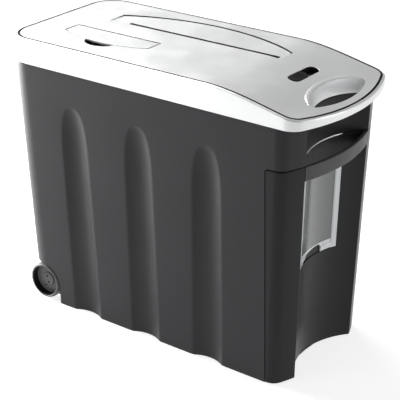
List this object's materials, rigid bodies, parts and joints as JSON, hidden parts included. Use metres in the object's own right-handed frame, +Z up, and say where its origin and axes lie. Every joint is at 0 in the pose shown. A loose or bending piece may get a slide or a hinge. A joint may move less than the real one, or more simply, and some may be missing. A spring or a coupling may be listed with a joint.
{
  "type": "paper shredder",
  "caption": "Upright paper and disc shredder: dark fluted housing, silver cover with feed slots and hand hole, pull-out bin with a bowed handle and window, rear wheels.",
  "frame": {"origin": "centre of the whole shredder on the floor", "axes": "+X towards the bin front and hand hole, +Y towards the paper slot side, +Z up"},
  "size_m": [0.441, 0.1974, 0.3568],
  "materials": {
    "silver_cover": "silver metallic paint on a fine moulded texture, satin",
    "charcoal_shell": "charcoal moulded plastic, satin",
    "bin_shell": "black moulded plastic, satin to gloss",
    "handle_grip": "dark grey fine-grained plastic",
    "clear_window": "smoky clear plastic, glossy",
    "tray_plastic": "dark grey moulded plastic",
    "black_trim": "black moulded plastic, satin",
    "wheel_plastic": "dark grey moulded plastic",
    "steel": "zinc-plated sheet and bar",
    "cutter_steel": "hardened steel with an oil film",
    "nylon": "natural nylon",
    "brass": "sintered bronze and brass",
    "circuit_board": "green lacquered board"
  },
  "bodies": {
    "root": {"housing": "charcoal_shell", "top_cover": "silver_cover", "flap_pin": "steel", "mode_switch_body": "black_trim", "wheel_axle": "steel", "head_chassis": "black_trim", "paper_sleeve": "black_trim", "disc_sleeve": "black_trim", "frame_plate_left": "steel", "frame_plate_middle": "steel", "frame_plate_right": "steel", "tie_rod_1": "steel", "tie_rod_2": "steel", "tie_rod_3": "steel", "bush_rear_left": "brass", "bush_rear_right": "brass", "bush_front_left": "brass", "bush_front_right": "brass", "bush_disc_rear_left": "brass", "bush_disc_rear_right": "brass", "bush_disc_front_left": "brass", "bush_disc_front_right": "brass", "stage_stud": "steel", "motor": "steel", "cutter_comb_rear": "black_trim", "cutter_comb_front": "black_trim", "control_board": "circuit_board", "cord_gland": "black_trim", "bin_switch_body": "black_trim", "cover_screw_1": "steel", "cover_screw_2": "steel", "cover_screw_3": "steel", "cover_screw_4": "steel"},
    "bin": {"bin_tub": "tray_plastic", "bin_front": "bin_shell", "bin_window": "clear_window", "bin_handle": "handle_grip", "bin_screw_1": "steel", "bin_screw_2": "steel", "bin_screw_3": "steel", "bin_screw_4": "steel"},
    "disc_flap": {"disc_flap": "silver_cover"},
    "mode_slider": {"mode_slider": "black_trim"},
    "wheel_near": {"wheel_near": "wheel_plastic", "wheel_cap_near": "wheel_plastic"},
    "wheel_far": {"wheel_far": "wheel_plastic", "wheel_cap_far": "wheel_plastic"},
    "front_cutter": {"paper_cutter_front": "cutter_steel", "gear_front": "nylon", "drive_gear": "nylon"},
    "rear_cutter": {"paper_cutter_rear": "cutter_steel", "gear_rear": "nylon"},
    "disc_rear_cutter": {"disc_cutter_rear": "cutter_steel", "gear_disc_rear": "nylon"},
    "disc_front_cutter": {"disc_cutter_front": "cutter_steel", "gear_disc_front": "nylon"},
    "stage_gear": {"stage_gear": "nylon"},
    "motor_rotor": {"motor_pinion": "brass", "motor_shaft": "steel"},
    "bin_switch_plunger": {"bin_switch_plunger": "nylon"}
  },
  "joints": [
    {"name": "bin_pull", "type": "slide", "parent": "root", "child": "bin", "axis": [1, 0, 0], "range_m": [0, 0.3]},
    {"name": "flap_lift", "type": "hinge", "parent": "root", "child": "disc_flap", "pos_m": [-0.10625, -0.0192, 0.3553], "axis": [-1, 0, 0], "range_deg": [0, 95]},
    {"name": "mode_slide", "type": "slide", "parent": "root", "child": "mode_slider", "axis": [0, 1, 0], "range_m": [0, 0.022]},
    {"name": "wheel_near_spin", "type": "hinge", "parent": "root", "child": "wheel_near", "pos_m": [-0.1833, -0.084, 0.0263], "axis": [0, 1, 0], "continuous": true},
    {"name": "wheel_far_spin", "type": "hinge", "parent": "root", "child": "wheel_far", "pos_m": [-0.1833, 0.084, 0.0263], "axis": [0, 1, 0], "continuous": true},
    {"name": "front_cutter_spin", "type": "hinge", "parent": "root", "child": "front_cutter", "pos_m": [0, 0.009, 0.305], "axis": [1, 0, 0], "continuous": true},
    {"name": "rear_cutter_spin", "type": "hinge", "parent": "root", "child": "rear_cutter", "pos_m": [0, 0.039, 0.305], "axis": [1, 0, 0], "continuous": true},
    {"name": "disc_rear_spin", "type": "hinge", "parent": "root", "child": "disc_rear_cutter", "pos_m": [0, -0.021, 0.305], "axis": [1, 0, 0], "continuous": true},
    {"name": "disc_front_spin", "type": "hinge", "parent": "root", "child": "disc_front_cutter", "pos_m": [0, -0.051, 0.305], "axis": [1, 0, 0], "continuous": true},
    {"name": "stage_gear_spin", "type": "hinge", "parent": "root", "child": "stage_gear", "pos_m": [0, -0.024, 0.305], "axis": [1, 0, 0], "continuous": true},
    {"name": "motor_spin", "type": "hinge", "parent": "root", "child": "motor_rotor", "pos_m": [0, -0.046, 0.305], "axis": [1, 0, 0], "continuous": true},
    {"name": "bin_switch_press", "type": "slide", "parent": "root", "child": "bin_switch_plunger", "axis": [0, 0, 1], "range_m": [0, 0.0025], "stiffness_N_per_m": 150, "springref_m": -0.002}
  ],
  "couplings": [
    {"joint": "rear_cutter_spin", "follows": "front_cutter_spin", "ratio": -1},
    {"joint": "disc_rear_spin", "follows": "front_cutter_spin", "ratio": -1},
    {"joint": "disc_front_spin", "follows": "front_cutter_spin", "ratio": 1},
    {"joint": "stage_gear_spin", "follows": "front_cutter_spin", "ratio": -2.6667},
    {"joint": "motor_spin", "follows": "front_cutter_spin", "ratio": 7.1111}
  ]
}
